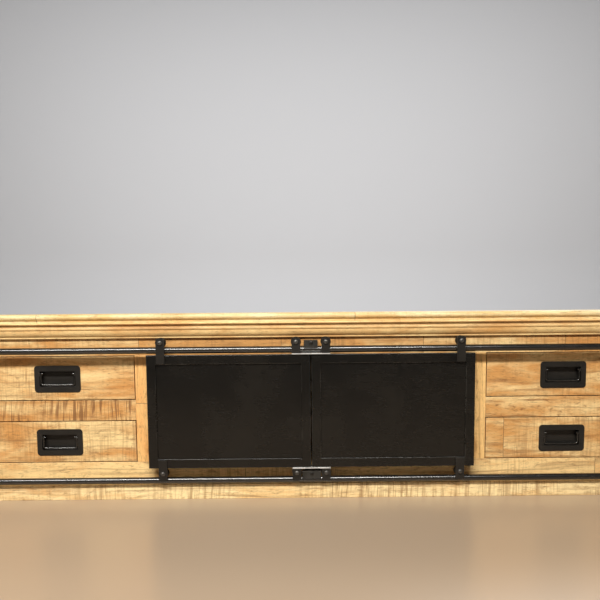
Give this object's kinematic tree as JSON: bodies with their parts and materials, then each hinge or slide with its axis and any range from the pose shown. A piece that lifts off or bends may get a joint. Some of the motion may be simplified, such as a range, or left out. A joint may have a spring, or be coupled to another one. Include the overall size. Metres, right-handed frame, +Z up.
{
  "type": "tv stand with sliding doors",
  "caption": "Long low wooden television cabinet on a plinth, with framed black metal doors rolling on round rods between flush-pull drawers.",
  "frame": {"origin": "on the floor, under the middle of the cabinet with its doors and rods", "axes": "+X to the right along the cabinet, seen from the front; +Y to the back; +Z up; the front faces -Y"},
  "size_m": [1.72, 0.424, 0.444],
  "materials": {
    "mango_wood": "waxed, rough sawn",
    "drawer_wood": "bare planed wood",
    "plywood": "bare veneer",
    "black_iron": "satin black paint",
    "door_iron": "satin black paint, slightly brown",
    "rod_steel": "satin black paint",
    "bare_steel": "bare steel",
    "black_plastic": "matt"
  },
  "bodies": {
    "cabinet": {"top_board": "mango_wood", "cornice_front": "mango_wood", "cornice_sides": "mango_wood", "side_panel_left": "mango_wood", "side_panel_right": "mango_wood", "divider_left": "mango_wood", "divider_right": "mango_wood", "bottom_board": "mango_wood", "back_panel": "plywood", "frieze_rail": "mango_wood", "bottom_rail": "mango_wood", "outer_stile_left": "mango_wood", "outer_stile_right": "mango_wood", "inner_stile_left": "mango_wood", "inner_stile_right": "mango_wood", "mid_rail_left": "mango_wood", "mid_rail_right": "mango_wood", "plinth_front": "mango_wood", "plinth_left": "mango_wood", "plinth_right": "mango_wood", "centre_shelf": "mango_wood", "shelf_pins": "bare_steel", "drawer_runners": "mango_wood", "cable_grommets": "black_plastic", "upper_rod": "rod_steel", "lower_rod": "rod_steel", "rod_brackets": "black_iron", "rod_bolts": "black_iron"},
    "door_left": {"door_left_frame": "door_iron", "door_left_sheet": "door_iron", "door_left_hangers": "black_iron", "door_left_axles": "bare_steel"},
    "wheel_left_top_inner": {"wheel_left_top_inner": "black_iron"},
    "wheel_left_bottom_inner": {"wheel_left_bottom_inner": "black_iron"},
    "wheel_left_top_outer": {"wheel_left_top_outer": "black_iron"},
    "wheel_left_bottom_outer": {"wheel_left_bottom_outer": "black_iron"},
    "door_right": {"door_right_frame": "door_iron", "door_right_sheet": "door_iron", "door_right_hangers": "black_iron", "door_right_axles": "bare_steel"},
    "wheel_right_top_inner": {"wheel_right_top_inner": "black_iron"},
    "wheel_right_bottom_inner": {"wheel_right_bottom_inner": "black_iron"},
    "wheel_right_top_outer": {"wheel_right_top_outer": "black_iron"},
    "wheel_right_bottom_outer": {"wheel_right_bottom_outer": "black_iron"},
    "drawer_upper_left": {"drawer_upper_left_front": "mango_wood", "drawer_upper_left_box": "drawer_wood", "drawer_upper_left_pull": "black_iron"},
    "drawer_upper_left_bail": {"drawer_upper_left_bail": "black_iron"},
    "drawer_upper_right": {"drawer_upper_right_front": "mango_wood", "drawer_upper_right_box": "drawer_wood", "drawer_upper_right_pull": "black_iron"},
    "drawer_upper_right_bail": {"drawer_upper_right_bail": "black_iron"},
    "drawer_lower_left": {"drawer_lower_left_front": "mango_wood", "drawer_lower_left_box": "drawer_wood", "drawer_lower_left_pull": "black_iron"},
    "drawer_lower_left_bail": {"drawer_lower_left_bail": "black_iron"},
    "drawer_lower_right": {"drawer_lower_right_front": "mango_wood", "drawer_lower_right_box": "drawer_wood", "drawer_lower_right_pull": "black_iron"},
    "drawer_lower_right_bail": {"drawer_lower_right_bail": "black_iron"}
  },
  "joints": [
    {"name": "door_left_slide", "type": "slide", "parent": "cabinet", "child": "door_left", "axis": [1, 0, 0], "range_m": [-0.415, 0]},
    {"name": "wheel_left_top_inner_spin", "type": "hinge", "parent": "door_left", "child": "wheel_left_top_inner", "pos_m": [-0.035, -0.194, 0.3763], "axis": [0, 1, 0], "range_deg": [-2520, 20]},
    {"name": "wheel_left_bottom_inner_spin", "type": "hinge", "parent": "door_left", "child": "wheel_left_bottom_inner", "pos_m": [-0.035, -0.194, 0.0653], "axis": [0, 1, 0], "range_deg": [-2520, 20]},
    {"name": "wheel_left_top_outer_spin", "type": "hinge", "parent": "door_left", "child": "wheel_left_top_outer", "pos_m": [-0.353, -0.194, 0.3763], "axis": [0, 1, 0], "range_deg": [-2520, 20]},
    {"name": "wheel_left_bottom_outer_spin", "type": "hinge", "parent": "door_left", "child": "wheel_left_bottom_outer", "pos_m": [-0.353, -0.194, 0.0653], "axis": [0, 1, 0], "range_deg": [-2520, 20]},
    {"name": "door_right_slide", "type": "slide", "parent": "cabinet", "child": "door_right", "axis": [-1, 0, 0], "range_m": [-0.415, 0]},
    {"name": "wheel_right_top_inner_spin", "type": "hinge", "parent": "door_right", "child": "wheel_right_top_inner", "pos_m": [0.035, -0.194, 0.3763], "axis": [0, -1, 0], "range_deg": [-2520, 20]},
    {"name": "wheel_right_bottom_inner_spin", "type": "hinge", "parent": "door_right", "child": "wheel_right_bottom_inner", "pos_m": [0.035, -0.194, 0.0653], "axis": [0, -1, 0], "range_deg": [-2520, 20]},
    {"name": "wheel_right_top_outer_spin", "type": "hinge", "parent": "door_right", "child": "wheel_right_top_outer", "pos_m": [0.353, -0.194, 0.3763], "axis": [0, -1, 0], "range_deg": [-2520, 20]},
    {"name": "wheel_right_bottom_outer_spin", "type": "hinge", "parent": "door_right", "child": "wheel_right_bottom_outer", "pos_m": [0.353, -0.194, 0.0653], "axis": [0, -1, 0], "range_deg": [-2520, 20]},
    {"name": "drawer_upper_left_slide", "type": "slide", "parent": "cabinet", "child": "drawer_upper_left", "axis": [0, -1, 0], "range_m": [0, 0.28]},
    {"name": "drawer_upper_left_bail_hinge", "type": "hinge", "parent": "drawer_upper_left", "child": "drawer_upper_left_bail", "pos_m": [-0.6065, -0.164, 0.30268], "axis": [-1, 0, 0], "range_deg": [0, 90]},
    {"name": "drawer_upper_right_slide", "type": "slide", "parent": "cabinet", "child": "drawer_upper_right", "axis": [0, -1, 0], "range_m": [0, 0.28]},
    {"name": "drawer_upper_right_bail_hinge", "type": "hinge", "parent": "drawer_upper_right", "child": "drawer_upper_right_bail", "pos_m": [0.6065, -0.164, 0.30268], "axis": [-1, 0, 0], "range_deg": [0, 90]},
    {"name": "drawer_lower_left_slide", "type": "slide", "parent": "cabinet", "child": "drawer_lower_left", "axis": [0, -1, 0], "range_m": [0, 0.28]},
    {"name": "drawer_lower_left_bail_hinge", "type": "hinge", "parent": "drawer_lower_left", "child": "drawer_lower_left_bail", "pos_m": [-0.6065, -0.164, 0.14918], "axis": [-1, 0, 0], "range_deg": [0, 90]},
    {"name": "drawer_lower_right_slide", "type": "slide", "parent": "cabinet", "child": "drawer_lower_right", "axis": [0, -1, 0], "range_m": [0, 0.28]},
    {"name": "drawer_lower_right_bail_hinge", "type": "hinge", "parent": "drawer_lower_right", "child": "drawer_lower_right_bail", "pos_m": [0.6065, -0.164, 0.14918], "axis": [-1, 0, 0], "range_deg": [0, 90]}
  ],
  "couplings": [
    {"joint": "wheel_left_top_inner_spin", "follows": "door_left_slide", "rad_per_m": 105.26},
    {"joint": "wheel_left_bottom_inner_spin", "follows": "door_left_slide", "rad_per_m": 105.26},
    {"joint": "wheel_left_top_outer_spin", "follows": "door_left_slide", "rad_per_m": 105.26},
    {"joint": "wheel_left_bottom_outer_spin", "follows": "door_left_slide", "rad_per_m": 105.26},
    {"joint": "wheel_right_top_inner_spin", "follows": "door_right_slide", "rad_per_m": 105.26},
    {"joint": "wheel_right_bottom_inner_spin", "follows": "door_right_slide", "rad_per_m": 105.26},
    {"joint": "wheel_right_top_outer_spin", "follows": "door_right_slide", "rad_per_m": 105.26},
    {"joint": "wheel_right_bottom_outer_spin", "follows": "door_right_slide", "rad_per_m": 105.26}
  ]
}
